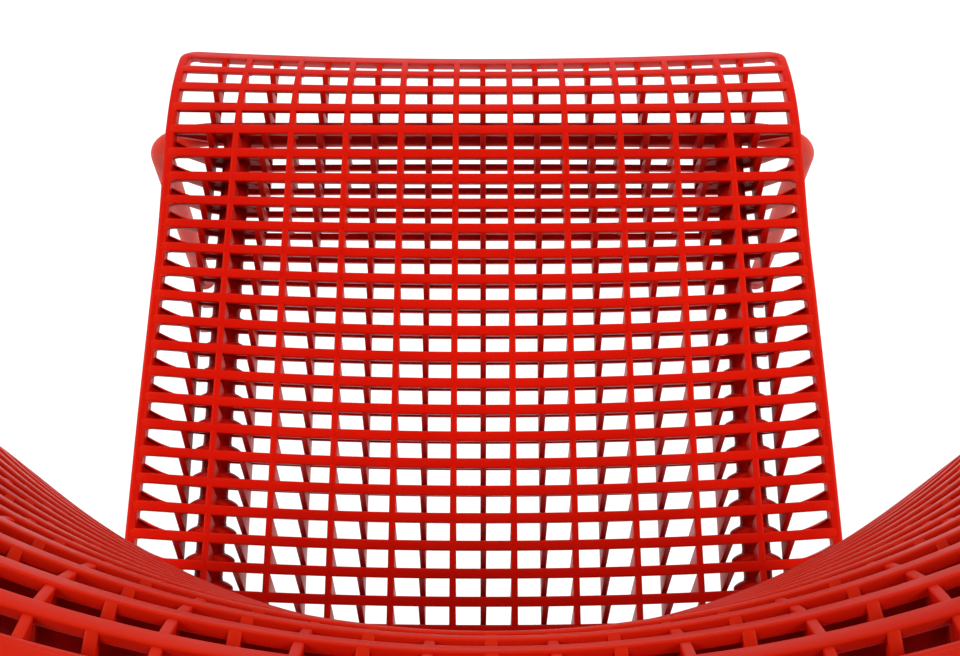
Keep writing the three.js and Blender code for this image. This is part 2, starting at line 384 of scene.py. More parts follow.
def seat_web_depth(across, along):
    """How deep the upright webs hang: level below the dished face, and shallow at the rails."""
    middle = smooth_through(WEB_DEPTHS, along)
    outer = BEAM_RIB * seat_rib_pitch(along)
    dish = SEAT_DISH * (min(abs(across), outer) / seat_half_width(along)) ** 2
    if abs(across) <= outer:
        return middle + dish
    share = (abs(across) - outer) / (seat_half_width(along) - outer)
    return (middle + dish) * (1 - share) + RAIL_HEIGHT * share


# ---------- Back surface ----------

def back_curvature(along):
    return smooth_through(BACK_CURVATURES, along)


def back_rib_pitch(along):
    return BACK_RIB_PITCH + BACK_RIB_SPREAD * along / BACK_LENGTH


def back_half_arc(along):
    """Half the back's width, measured round its curve."""
    below = along < BACK_WIDEST_AT
    narrowing = BACK_WIDEST - (BACK_BOTTOM_HALF if below else BACK_TOP_HALF)
    share = (along - BACK_WIDEST_AT) / (BACK_WIDEST_AT if below else BACK_LENGTH - BACK_WIDEST_AT)
    return BACK_WIDEST - narrowing * share * share


def back_edge(along):
    """Half width of the back at a place along it, its corners rounded."""
    return panel_edge(back_half_arc, BACK_NEAR, BACK_FAR, BACK_LOW_CORNER, BACK_CORNER, along)


def back_web_depth(along):
    """Full depth of the webs: the last shelf stands out further, and the top rows are thinner."""
    return smooth_through(BACK_WEB_DEPTHS, along)


def back_face(across, along):
    """A point on the back's inner face, which is an arc at every height."""
    y, z = path_point(BACK_FOOT, BACK_HEADING, BACK_STRETCHES, along)
    bend = back_curvature(along)
    x = math.sin(across * bend) / bend
    return from_datum(x, y - (1 - math.cos(across * bend)) / bend, z)


def back_at(across, along, drop=0.0):
    """A point on the back's inner face, or behind it, square to the face."""
    point = back_face(across, along)
    if not drop:
        return point
    step = 1.0
    sideways = back_face(across + step, along) - back_face(across - step, along)
    onward = back_face(across, along + step) - back_face(across, along - step)
    return point - sideways.cross(onward).normalized() * drop * MM


# ---------- Solids ----------

class Solid:
    """Closed lofts gathered into one mesh."""

    def __init__(self):
        self.points = []
        self.faces = []

    def loft(self, rings, closed=False):
        """Skin round rings of equal length: a loop if closed, else with both ends capped."""
        start = len(self.points)
        count = len(rings[0])
        for ring in rings:
            self.points.extend(ring)
        spans = len(rings) if closed else len(rings) - 1
        for span in range(spans):
            low = start + span * count
            high = start + (span + 1) % len(rings) * count
            for i in range(count):
                j = (i + 1) % count
                self.faces.append((low + i, low + j, high + j, high + i))
        if not closed:
            self.faces.append(tuple(range(start, start + count))[::-1])
            end = start + (len(rings) - 1) * count
            self.faces.append(tuple(range(end, end + count)))

    def piece(self, name, sharp_angle=35):
        """The gathered lofts as an object, smooth except at edges sharper than the angle."""
        mesh = bpy.data.meshes.new(name)
        mesh.from_pydata([tuple(p) for p in self.points], [], self.faces)
        mesh.validate()
        made = bpy.data.objects.new(name, mesh)
        bpy.context.scene.collection.objects.link(made)
        turn_outward(made)
        for face in mesh.polygons:
            face.use_smooth = True
        mesh.set_sharp_from_angle(angle=math.radians(sharp_angle))
        return made

    def stand_in(self, name, node, sharp_angle=35):
        """The same object, shown in place of a CAD node."""
        made = self.piece(name, sharp_angle)
        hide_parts(node)
        return made


def turn_outward(made):
    """Turns the faces of every closed loft outwards."""
    work = bmesh.new()
    work.from_mesh(made.data)
    bmesh.ops.recalc_face_normals(work, faces=work.faces)
    work.to_mesh(made.data)
    work.free()


def bar_section(width, height, round_top, round_bottom=0.6, steps=3):
    """Outline of a bar as (side, drop) points, rounded at its upper and lower edges."""
    outline = []
    half = width / 2
    corners = (
        (half - round_top, round_top, round_top, 0),
        (-half + round_top, round_top, round_top, 90),
        (-half + round_bottom, height - round_bottom, round_bottom, 180),
        (half - round_bottom, height - round_bottom, round_bottom, 270),
    )
    for side, drop, radius, first in corners:
        for step in range(steps + 1):
            angle = math.radians(first + 90 * step / steps)
            outline.append((side + radius * math.cos(angle), drop - radius * math.sin(angle)))
    return outline


# ---------- Lattices ----------

def rib_ranks(full_ribs, low_rib_rank):
    """Ranks of the full ribs, and of the low ribs half way between them."""
    full = [i - (full_ribs - 1) / 2 for i in range(full_ribs)]
    low = [float(i) for i in range(-low_rib_rank, low_rib_rank + 1)]
    return full, low


def add_cross_bar(solid, place, along, limit, section, depth=None, samples=64):
    """A bar from side to side. depth(across, along) lowers it; without it, the bar is flush."""
    rings = []
    for sample in range(samples + 1):
        across = -limit + 2 * limit * sample / samples
        base = depth(across, along) if depth else 0.0
        rings.append([place(across, along + side, base + drop) for side, drop in section])
    solid.loft(rings)


def add_rib(solid, place, start, end, bar, across_at, top, bottom, width):
    """A rib between two bars. top and bottom give its drops at a share of the clear gap."""
    rings = []
    covered = bar / 2 / (end - start)
    for share, clear in ((0.0, 0.0), (covered, 0.0), (1 - covered, 1.0), (1.0, 1.0)):
        along = start + (end - start) * share
        across = across_at(along)
        upper = top(across, along, clear)
        lower = max(bottom(across, along, clear), upper + RIB_LEAST_DEPTH)
        section = bar_section(width, lower - upper, RIB_ROUND)
        rings.append([place(across + side, along, upper + drop) for side, drop in section])
    solid.loft(rings)


def rim_path(half_width, near, far, near_corner, far_corner, steps=9, samples=44):
    """Round a panel's outer edge, as (across, along, outward across, outward along)."""
    half = []
    near_flat = half_width(near) - near_corner
    for sample in range(samples):
        half.append((near_flat * sample / samples, near, 0.0, -1.0))
    for step in range(steps + 1):
        angle = math.radians(-90 + 90 * step / steps)
        along = near + near_corner + near_corner * math.sin(angle)
        across = half_width(along) - near_corner + near_corner * math.cos(angle)
        half.append((across, along, math.cos(angle), math.sin(angle)))
    start = near + near_corner
    span = far - far_corner - start
    for sample in range(1, samples):
        along = start + span * sample / samples
        half.append((half_width(along), along, 1.0, 0.0))
    for step in range(steps + 1):
        angle = math.radians(90 * step / steps)
        along = far - far_corner + far_corner * math.sin(angle)
        across = half_width(along) - far_corner + far_corner * math.cos(angle)
        half.append((across, along, math.cos(angle), math.sin(angle)))
    far_flat = half_width(far) - far_corner
    for sample in range(1, samples + 1):
        half.append((far_flat * (1 - sample / samples), far, 0.0, 1.0))
    mirrored = [(-across, along, -out, on) for across, along, out, on in half[1:-1]]
    return half + mirrored[::-1]


def add_rim(solid, place, path, width_at, height, round_top):
    """A closed rail whose outer edge follows the path."""
    rings = []
    for across, along, out, on in path:
        width = width_at(on)
        section = bar_section(width, height, round_top)
        rings.append([
            place(across + (side - width / 2) * out, along + (side - width / 2) * on, drop)
            for side, drop in section
        ])
    solid.loft(rings, closed=True)


# ---------- Seat panel ----------
SEAT_FAR = slat_place(SLATS - 1) + SLAT_WIDTH / 2


def seat_edge(along):
    """Half width of the seat at a place along it, its corners rounded."""
    return panel_edge(seat_half_width, SEAT_NEAR, SEAT_FAR, SEAT_CORNER, SEAT_CORNER, along)


def add_seat_slats(solid):
    top = bar_section(SLAT_WIDTH, SLAT_HEIGHT, SLAT_ROUND)
    chord = bar_section(CHORD_WIDTH, CHORD_HEIGHT, CHORD_ROUND)

    def web_foot(across, along):
        return seat_web_depth(across, along) - CHORD_HEIGHT

    for slat in range(SLATS):
        along = slat_place(slat)
        limit = seat_edge(along) - RAIL_WIDTH / 2
        add_cross_bar(solid, seat_at, along, limit, top)
        if slat < FIRST_CHORD:
            continue
        reach = LOW_RIB_RANK * seat_rib_pitch(along) if slat >= FIRST_GUSSET else limit
        add_cross_bar(solid, seat_at, along, reach, chord, web_foot)


def add_seat_ribs(solid):
    """Full ribs that deepen towards the rear slat, and low ribs that sink towards it."""
    full, low = rib_ranks(FULL_RIBS, LOW_RIB_RANK)

    def flush(across, along, clear):
        return 0.0

    def deepening(across, along, clear):
        full_web = seat_web_depth(across, along)
        if along < slat_place(FIRST_CHORD):
            full_web = min(full_web, LIP_RIB_DEPTH)
        return RIB_START_DEPTH + (full_web - RIB_START_DEPTH) * clear

    def sinking(across, along, clear):
        return LOW_RIB_DROP + (seat_web_depth(across, along) - LOW_RIB_END_DEPTH) * clear

    def full_depth(across, along, clear):
        return seat_web_depth(across, along)

    for slat in range(SLATS - 1):
        start, end = slat_place(slat), slat_place(slat + 1)
        for rank in full:
            add_rib(solid, seat_at, start, end, SLAT_WIDTH, lambda along: rank * seat_rib_pitch(along),
                    flush, deepening, RIB_WIDTH)
        for rank in low:
            add_rib(solid, seat_at, start, end, SLAT_WIDTH, lambda along: rank * seat_rib_pitch(along),
                    sinking, full_depth, LOW_RIB_WIDTH)


def add_end_webs(solid, steps=6):
    """Solid webs under the slats' ends, from the outermost low rib up towards the rail."""
    for slat in range(FIRST_GUSSET, SLATS):
        along = slat_place(slat)
        inner = LOW_RIB_RANK * seat_rib_pitch(along)
        outer = seat_edge(along) - RAIL_WIDTH - END_WEB_CLEAR
        for hand in (-1, 1):
            rings = []
            for step in range(steps + 1):
                share = step / steps
                deep = (seat_web_depth(inner, along) - SLAT_HEIGHT) * (1 - share) + SLAT_HEIGHT
                section = bar_section(CHORD_WIDTH, deep - END_WEB_DROP, END_WEB_ROUND)
                across = hand * (inner + (outer - inner) * share)
                rings.append([seat_at(across, along + side, END_WEB_DROP + drop) for side, drop in section])
            solid.loft(rings)


def add_gussets(solid, steps=10):
    """Sunk brackets in front of each slat where it meets a side rail, with a thin raised edge."""
    crest = GUSSET_DROP - GUSSET_EDGE_RISE
    for slat in range(FIRST_GUSSET, SLATS):
        along = slat_place(slat)
        front = along - SLAT_WIDTH / 2
        root = front + SLAT_OVERLAP
        rail = seat_edge(along) - RAIL_WIDTH / 2
        for hand in (-1, 1):
            rings = []
            for step in range(steps + 1):
                share = step / steps
                across = hand * (rail - GUSSET_LENGTH * share)
                tip = front - (GUSSET_REACH * (1 - share) ** GUSSET_SWEEP - GUSSET_TIP)
                inside = tip + GUSSET_EDGE_WIDTH
                deep = GUSSET_DROP + GUSSET_DEPTH + GUSSET_ROOT_DEPTH * (1 - share)
                outline = ((root, GUSSET_DROP), (inside, GUSSET_DROP), (inside, crest), (tip, crest),
                           (tip, deep), (root, deep))
                rings.append([seat_at(across, place, drop) for place, drop in outline])
            solid.loft(rings)


def add_corner_fillets(solid, steps=6):
    """Rounded corners behind each slat where it runs into a side rail."""
    for slat in range(FIRST_GUSSET, SLATS - 1):
        rear = slat_place(slat) + SLAT_WIDTH / 2
        root = rear - SLAT_OVERLAP
        rail = seat_edge(rear) - RAIL_WIDTH * FILLET_RAIL_SHARE
        for hand in (-1, 1):
            rings = []
            for step in range(steps + 1):
                run = FILLET_RADIUS * step / steps
                reach = FILLET_RADIUS - math.sqrt(FILLET_RADIUS ** 2 - (FILLET_RADIUS - run) ** 2)
                across = hand * (rail - run)
                outline = ((root, FILLET_DROP), (rear + reach, FILLET_DROP),
                           (rear + reach, SLAT_HEIGHT), (root, SLAT_HEIGHT))
                rings.append([seat_at(across, place, drop) for place, drop in outline])
            solid.loft(rings)


def beam_point(hand, y):
    """A point on a side beam's axis, in millimetres in the frame. hand is -1 for the left-hand beam."""
    low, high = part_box("right_side_beam")
    low, high = low / MM, high / MM
    front = Vector((low.x + TUBE_RADIUS, low.y, high.z - TUBE_RADIUS))
    rear = Vector((high.x - TUBE_RADIUS, high.y, low.z + TUBE_RADIUS))
    share = (y - front.y) / (rear.y - front.y)
    point = front.lerp(rear, share)
    return Vector((hand * point.x, point.y, point.z))


def saddle_profile(steps=8):
    """(place ahead of the slat's front edge, radius) steps of a sleeve that ends in a bell."""
    bead_start, bead_full, bead_end = SADDLE_BEAD_PLACES
    root = SADDLE_NECK + SADDLE_BEAD
    profile = [(SLEEVE_LENGTH, SADDLE_NECK), (SADDLE_LENGTH + bead_start, SADDLE_NECK),
               (SADDLE_LENGTH + bead_full, root), (SADDLE_LENGTH + bead_end, root), (SADDLE_LENGTH, root)]
    for step in range(1, steps + 1):
        share = step / steps
        flare = SADDLE_FLARE * (1 - (1 - share) ** SADDLE_FLARE_POWER)
        profile.append((SADDLE_LENGTH * (1 - share), root + flare))
    profile.append((-SADDLE_TAIL, root + SADDLE_FLARE))
    return profile


def saddle_ring(centre, radius, arc):
    """Outline of a collar round a beam: its outer arc, then back along its bore, in metres."""
    height = min(radius, SADDLE_HIGHEST)
    outer = [Vector((radius * math.cos(angle), 0, height * math.sin(angle))) for angle in arc]
    bore = [Vector((SADDLE_BORE * math.cos(angle), 0, SADDLE_BORE * math.sin(angle))) for angle in arc[::-1]]
    return [(centre + point) * MM for point in outer + bore]


def add_saddles(solid, sides=22):
    """Bell-shaped collars over the side beams, in front of each slat."""
    arc = [math.radians(SADDLE_ARC_START + SADDLE_ARC * i / sides) for i in range(sides + 1)]
    for slat in range(FIRST_GUSSET, SLATS - 1):
        along = slat_place(slat)
        slat_y = seat_at(BEAM_RIB * seat_rib_pitch(along), along).y / MM
        front = slat_y - SLAT_WIDTH / 2 - SADDLE_AHEAD
        for hand in (-1, 1):
            solid.loft([saddle_ring(beam_point(hand, front - ahead), radius, arc)
                        for ahead, radius in saddle_profile()])


def seat_rail_width(on):
    """The rail is wider where its outer side faces forwards (on is -1 there)."""
    return RAIL_WIDTH + FRONT_BAR_EXTRA * max(-on, 0.0) ** 2


def make_seat():
    solid = Solid()
    add_seat_slats(solid)
    add_seat_ribs(solid)
    add_end_webs(solid)
    add_gussets(solid)
    add_corner_fillets(solid)
    add_saddles(solid)
    path = rim_path(seat_half_width, SEAT_NEAR, SEAT_FAR, SEAT_CORNER, SEAT_CORNER)
    add_rim(solid, seat_at, path, seat_rail_width, RAIL_HEIGHT, SEAT_RAIL_ROUND)
    return solid.stand_in("seat_lattice", "seat_panel")


# ---------- Back panel ----------

def add_back_slats(solid):
    """Each row has a front bar, a rear bar and a thin shelf, which is set lower in the top rows."""
    front = bar_section(BACK_SLAT, BACK_BAR_DEPTH, BACK_SLAT_ROUND)
    rear = bar_section(CHORD_WIDTH, CHORD_HEIGHT, CHORD_ROUND)
    for row in range(BACK_ROWS):
        along = row * BACK_PITCH
        limit = back_edge(along) - RAIL_WIDTH / 2
        deep = back_web_depth(along)
        if row > LAST_SHELF:
            shelf = bar_section(SHELF_WIDTH, deep - RECESS_SHORT, SHELF_ROUND)
            shelf_along, shelf_drop = along - RECESS_BEHIND, RECESS_DROP
        else:
            shelf = bar_section(SHELF_WIDTH, deep - SHELF_SHORT, SHELF_ROUND)
            shelf_along, shelf_drop = along, SHELF_DROP
        bars = ((along, front, 0.0), (along, rear, deep - CHORD_HEIGHT), (shelf_along, shelf, shelf_drop))
        for bar_along, section, bar_drop in bars:
            add_cross_bar(solid, back_at, bar_along, limit, section,
                          lambda across, at: bar_drop, BACK_SAMPLES)


def add_back_ribs(solid):
    """Full ribs that deepen towards the next row, and low ribs that sink towards it."""
    full, low = rib_ranks(BACK_FULL_RIBS, BACK_LOW_RIB_RANK)

    def near_face(across, along, clear):
        return BACK_RIB_DROP

    def deepening(across, along, clear):
        return BACK_BAR_DEPTH + (back_web_depth(along) - BACK_BAR_DEPTH) * clear

    def sinking(across, along, clear):
        return LOW_RIB_DROP + (back_web_depth(along) - LOW_RIB_END_DEPTH) * clear

    def full_depth(across, along, clear):
        return back_web_depth(along)

    for row in range(BACK_ROWS - 1):
        start, end = row * BACK_PITCH, (row + 1) * BACK_PITCH
        room = min(back_edge(start), back_edge(end)) - RAIL_WIDTH
        for rank in full + low:
            if abs(rank) * back_rib_pitch(end) > room:
                continue
            top, bottom, width = near_face, deepening, RIB_WIDTH
            if rank in low:
                top, bottom, width = sinking, full_depth, BACK_LOW_RIB_WIDTH
            add_rib(solid, back_at, start, end, BACK_SLAT, lambda along: rank * back_rib_pitch(along),
                    top, bottom, width)


def back_rail_width(on):
    """The rail is wider where its outer side faces up (on is 1 there)."""
    return RAIL_WIDTH + BACK_RIM * max(on, 0.0) ** 2


def make_back():
    solid = Solid()
    add_back_slats(solid)
    add_back_ribs(solid)
    path = rim_path(back_half_arc, BACK_NEAR, BACK_FAR, BACK_LOW_CORNER, BACK_CORNER)
    add_rim(solid, back_at, path, back_rail_width, RAIL_HEIGHT, BACK_RAIL_ROUND)
    return solid.stand_in("back_lattice", "back_panel")


# ---------- Tubes ----------

def cross_axes(axis, guide=None):
    """Two directions square to an axis and to each other. The guide sets where turning starts."""
    if guide is None:
        guide = Vector((0, 1, 0)) if abs(axis.y) < 0.9 else Vector((1, 0, 0))
    first = axis.cross(guide).normalized()
    return first, axis.cross(first)


def add_tube(solid, points, radii, sides=32):
    """A round bar along points in millimetres, with flat ends and a radius at each point."""
    rings = []
    last = len(points) - 1
    for i, (point, radius) in enumerate(zip(points, radii)):
        along = (points[min(i + 1, last)] - points[max(i - 1, 0)]).normalized()
        first, second = cross_axes(along)
        ring = []
        for side in range(sides):
            angle = 2 * math.pi * side / sides
            ring.append((point + radius * (first * math.cos(angle) + second * math.sin(angle))) * MM)
        rings.append(ring)
    solid.loft(rings)


def bent_path(corners, bend, steps=14):
    """Straight runs between corners, joined by round bends of one radius."""
    points = [corners[0]]
    for before, turn, after in zip(corners, corners[1:], corners[2:]):
        back = (before - turn).normalized()
        onward = (after - turn).normalized()
        half_angle = back.angle(onward) / 2
        reach = bend / math.tan(half_angle)
        centre = turn + (back + onward).normalized() * (bend / math.sin(half_angle))
        start = turn + back * reach - centre
        end = turn + onward * reach - centre
        sweep = start.angle(end)
        for step in range(steps + 1):
            share = step / steps
            arc = (start * math.sin((1 - share) * sweep) + end * math.sin(share * sweep)) / math.sin(sweep)
            points.append(centre + arc)
    points.append(corners[-1])
    return points


def leg_frame(name, node, foot, corner, bend):
    """A bent tube: a leg, the cross tube and the other leg, from the right-hand foot and corner."""
    mirror = Vector((-1, 1, 1))
    path = bent_path([foot * mirror, corner * mirror, corner, foot], bend)
    solid = Solid()
    add_tube(solid, path, [TUBE_RADIUS] * len(path))
    return solid.stand_in(name, node, TUBE_SHARP_ANGLE)


def make_front_frame():
    glide = box_centre("front_right_glide")
    foot = Vector((glide.x, glide.y, front_low.z / MM + TUBE_FOOT))
    corner = Vector((FRONT_CORNER, DATUM_Y + FRONT_CROSS_Y, DATUM_Z + FRONT_CROSS_Z))
    return leg_frame("front_leg_tube", "front_leg_frame", foot, corner, FRONT_BEND)


def make_rear_frame():
    low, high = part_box("rear_leg_frame")
    glide = box_centre("rear_right_glide")
    foot = Vector((glide.x, glide.y, low.z / MM + TUBE_FOOT))
    corner = Vector((REAR_CORNER, low.y / MM + TUBE_RADIUS, high.z / MM - TUBE_RADIUS))
    return leg_frame("rear_leg_tube", "rear_leg_frame", foot, corner, REAR_BEND)


def add_bead(solid, centre, radius, sides=36, rounds=8):
    """A slightly uneven weld bead round a tube that runs from front to rear."""
    axis = Vector((0, 1, 0))
    first, second = cross_axes(axis, Vector((0, 0, 1)))
    rings = []
    for side in range(sides):
        angle = 2 * math.pi * side / sides
        out = first * math.cos(angle) + second * math.sin(angle)
        size = BEAD_RADIUS * (1 + BEAD_UNEVENNESS * math.sin(BEAD_LUMPS * angle))
        ring = []
        for turn in range(rounds):
            twist = 2 * math.pi * turn / rounds
            ring.append((centre + out * (radius + size * math.cos(twist) * BEAD_HEIGHT_SHARE)
                         + axis * size * math.sin(twist)) * MM)
        rings.append(ring)
    solid.loft(rings, closed=True)


def make_beam(hand, side):
    """A side beam that widens towards the rear, with a weld bead at each end."""
    low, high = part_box("right_side_beam")
    start, end = low.y / MM, high.y / MM
    points = []
    radii = []
    for step in range(BEAM_STEPS + 1):
        share = step / BEAM_STEPS
        points.append(beam_point(hand, start + (end - start) * share))
        radii.append(BEAM_RADIUS + BEAM_GROWTH * share)
    solid = Solid()
    add_tube(solid, points, radii)
    for tip in (0, -1):
        add_bead(solid, points[tip], radii[tip])
    return solid.stand_in(f"{side}_beam_tube", f"{side}_side_beam", TUBE_SHARP_ANGLE)


def post_line(side):
    """Foot and top of a back post's axis, from its box."""
    low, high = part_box(f"{side}_back_post")
    x = (low.x + high.x) / 2
    foot = Vector((x, high.y - TUBE_RADIUS * MM, low.z)) / MM
    top = Vector((x, low.y + TUBE_RADIUS * MM, high.z)) / MM
    return foot, top


def make_post(side):
    foot, top = post_line(side)
    solid = Solid()
    add_tube(solid, [foot, foot.lerp(top, 0.5), top], [TUBE_RADIUS] * 3)
    return solid.stand_in(f"{side}_post_tube", f"{side}_back_post", TUBE_SHARP_ANGLE)


# ---------- Fixings and feet ----------

def lathe(solid, centre, axis, profile, sides=28):
    """A turned solid: (radius, height) steps along an axis from centre."""
    axis = axis.normalized()
    first, second = cross_axes(axis)
    rings = []
    for radius, height in profile:
        ring = []
        for side in range(sides):
            angle = 2 * math.pi * side / sides
            out = first * math.cos(angle) + second * math.sin(angle)
            ring.append((centre + out * max(radius, AXIS_RADIUS) + axis * height) * MM)
        rings.append(ring)
    solid.loft(rings)


def dome(radius, height, steps=7):
    """(radius, height) steps of a rounded top."""
    quarter = [math.pi / 2 * i / steps for i in range(steps + 1)]
    return [(radius * math.cos(angle), height * math.sin(angle)) for angle in quarter]


def make_post_cap(side):
    foot, top = post_line(side)
    lip = [(TUBE_RADIUS + wider, height) for wider, height in CAP_LIP]
    lip_top = lip[-1][1]
    crown = dome(TUBE_RADIUS - CAP_DOME_INSET, CAP_DOME_HEIGHT)
    rounded = [(radius, lip_top + height) for radius, height in crown]
    solid = Solid()
    lathe(solid, top, top - foot, lip + rounded)
    return solid.stand_in(f"{side}_post_plug", f"{side}_post_cap", SMALL_PART_SHARP_ANGLE)


def make_glide(place):
    """A moulded foot: a flat pad, a rounded edge, a waist and a sleeve up round the tube's end."""
    low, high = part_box(f"{place}_glide")
    centre = Vector(((low.x + high.x) / 2, (low.y + high.y) / 2, low.z)) / MM
    radius = (high.x - low.x) / 2 / MM
    height = (high.z - low.z) / MM
    profile = [(radius - inset, up) for inset, up in GLIDE_FOOT]
    profile += [(radius - inset, height - down) for inset, down in GLIDE_TOP]
    solid = Solid()
    lathe(solid, centre, Vector((0, 0, 1)), profile, 36)
    return solid.stand_in(f"{place}_foot", f"{place}_glide", SMALL_PART_SHARP_ANGLE)


def pad_groove(share):
    """How deep the pad's underside is grooved at a share of its length."""
    if not PAD_PLAIN_END < share < 1 - PAD_PLAIN_END:
        return 0.0
    wave = math.cos(share * PAD_GROOVES * 2 * math.pi) - PAD_GROOVE_WIDTH
    return PAD_GROOVE_DEPTH * max(wave, 0) / (1 - PAD_GROOVE_WIDTH)


def make_pad(place, side):
    """A soft pad with rounded ends and three grooves across it."""
    node = f"{place}_{side}_stacking_pad"
    low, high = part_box(node)
    centre = (low + high) / 2 / MM
    length = (high.y - low.y) / MM - PAD_CLEAR
    width = (high.x - low.x) / MM
    tilt = Matrix.Rotation(math.radians(-SEAT_TILT), 3, "X")
    rings = []
    for step in range(PAD_STEPS + 1):
        share = step / PAD_STEPS
        y = -length / 2 + length * share
        end = min(share, 1 - share) * length
        round_end = math.sqrt(max(1 - (1 - min(end / PAD_END, 1.0)) ** 2, PAD_LEAST_ROUND))
        wide = width * (PAD_TIP_WIDTH + (1 - PAD_TIP_WIDTH) * round_end)
        deep = PAD_HALF_HEIGHT * (PAD_TIP_HEIGHT + (1 - PAD_TIP_HEIGHT) * round_end) - pad_groove(share)
        outline = bar_section(wide, deep + PAD_HALF_HEIGHT, PAD_TOP_ROUND, PAD_BOTTOM_ROUND)
        rings.append([(centre + tilt @ Vector((across, y, PAD_HALF_HEIGHT - drop))) * MM
                      for across, drop in outline])
    solid = Solid()
    solid.loft(rings)
    return solid.stand_in(f"{place}_{side}_bumper", node, SMALL_PART_SHARP_ANGLE)


def make_screw(node, axis, name):
    """A pan head with a round socket; axis points out of the head."""
    low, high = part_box(node)
    centre = (low + high) / 2 / MM
    solid = Solid()
    lathe(solid, centre - axis * SCREW_HEIGHT / 2, axis, SCREW_PROFILE, 24)
    return solid.stand_in(name, node, SCREW_SHARP_ANGLE)


# ---------- Materials ----------

def new_material(name):
    """A new material with its nodes, its links and its shader."""
    made = bpy.data.materials.new(name)
    made.use_nodes = True
    nodes = made.node_tree.nodes
    return made, nodes, made.node_tree.links, nodes["Principled BSDF"]


def add_noise(nodes, links, coordinates, scale, detail=4.0, rough=0.55):
    noise = nodes.new("ShaderNodeTexNoise")
    noise.inputs["Scale"].default_value = scale
    noise.inputs["Detail"].default_value = detail
    noise.inputs["Roughness"].default_value = rough
    links.new(coordinates.outputs["Object"], noise.inputs["Vector"])
    return noise


def add_range(nodes, links, source, low, high, start=0.3, stop=0.7):
    """Maps a value from start..stop to low..high."""
    spread = nodes.new("ShaderNodeMapRange")
    spread.inputs["From Min"].default_value = start
    spread.inputs["From Max"].default_value = stop
    spread.inputs["To Min"].default_value = low
    spread.inputs["To Max"].default_value = high
    links.new(source, spread.inputs["Value"])
    return spread


def add_mix(nodes, links, factor, first, second):
    """Mixes two colours, each a tuple or a socket."""
    mix = nodes.new("ShaderNodeMix")
    mix.data_type = "RGBA"
    links.new(factor, mix.inputs["Factor"])
    for socket, colour in ((mix.inputs["A"], first), (mix.inputs["B"], second)):
        if isinstance(colour, tuple):
            socket.default_value = (*colour, 1.0)
        else:
            links.new(colour, socket)
    return mix.outputs["Result"]


def add_bump(nodes, links, shader, layers):
    """Stacks bumps: each layer is (height socket, strength, distance in mm)."""
    normal = None
    for height, strength, distance in layers:
        bump = nodes.new("ShaderNodeBump")
        bump.inputs["Strength"].default_value = strength
        bump.inputs["Distance"].default_value = distance * MM
        links.new(height, bump.inputs["Height"])
        if normal:
            links.new(normal, bump.inputs["Normal"])
        normal = bump.outputs["Normal"]
    links.new(normal, shader.inputs["Normal"])


def paint_shade_in_hollows(nodes, links, shader, colour, reach):
    """Painted shade: deepens the colour and dulls the reflection where the surface is closed in by others."""
    hollow = nodes.new("ShaderNodeAmbientOcclusion")
    hollow.samples = 6
    hollow.inputs["Distance"].default_value = reach
    openness = add_range(nodes, links, hollow.outputs["AO"], 0.0, 1.0, 0.1, 0.72)
    shine = add_range(nodes, links, openness.outputs["Result"], PAINTED_SHADE_SHINE, OPEN_SHINE)
    links.new(shine.outputs["Result"], shader.inputs["Specular IOR Level"])
    shader.inputs["Specular Tint"].default_value = SHINE_TINT
    shaded_colour = add_mix(nodes, links, openness.outputs["Result"], PAINTED_SHADE_RED, colour)
    links.new(shaded_colour, shader.inputs["Base Color"])


def moulded_plastic(name, reds, roughness):
    """Satin moulded plastic: cloudy colour, a fine spark-eroded grain, slightly polished edges and painted
    shade in its hollows.
    """
    deep, main, worn = reds
    made, nodes, links, shader = new_material(name)
    coordinates = nodes.new("ShaderNodeTexCoord")
    cloud = add_noise(nodes, links, coordinates, 9.0)
    grain = add_noise(nodes, links, coordinates, GRAIN_SCALE, 2.0)
    ripple = add_noise(nodes, links, coordinates, 55.0, 3.0)
    geometry = nodes.new("ShaderNodeNewGeometry")
    edges = add_range(nodes, links, geometry.outputs["Pointiness"], 0.0, 0.55, 0.52, 0.62)
    clouds = add_range(nodes, links, cloud.outputs["Fac"], 0.0, 1.0)
    base = add_mix(nodes, links, clouds.outputs["Result"], deep, main)
    open_base = add_mix(nodes, links, edges.outputs["Result"], base, worn)
    # Painted shade: the colour darkens and the reflection dulls in the hollows.
    paint_shade_in_hollows(nodes, links, shader, open_base, PLASTIC_SHADE_REACH)
    gloss = add_range(nodes, links, ripple.outputs["Fac"], roughness - 0.06, roughness + 0.07)
    links.new(gloss.outputs["Result"], shader.inputs["Roughness"])
    add_bump(nodes, links, shader, [(ripple.outputs["Fac"], 0.12, 0.25), (grain.outputs["Fac"], 0.2, 0.06)])
    return made


def powder_coat(name, reds, roughness):
    """Powder-coated tube: orange peel, faint scuffs, cloudy colour and painted shade in its hollows."""
    made, nodes, links, shader = new_material(name)
    coordinates = nodes.new("ShaderNodeTexCoord")
    cloud = add_noise(nodes, links, coordinates, 14.0)
    peel = add_noise(nodes, links, coordinates, 420.0, 2.0)
    scuff = add_noise(nodes, links, coordinates, 30.0, 8.0, 0.7)
    clouds = add_range(nodes, links, cloud.outputs["Fac"], 0.0, 1.0)
    base = add_mix(nodes, links, clouds.outputs["Result"], *reds)
    # Painted shade: the colour darkens and the reflection dulls where the tube lies under the seat.
    paint_shade_in_hollows(nodes, links, shader, base, TUBE_SHADE_REACH)
    gloss = add_range(nodes, links, scuff.outputs["Fac"], roughness - 0.05, roughness + 0.14, 0.45, 0.75)
    links.new(gloss.outputs["Result"], shader.inputs["Roughness"])
    add_bump(nodes, links, shader, [(peel.outputs["Fac"], 0.25, 0.12)])
    return made


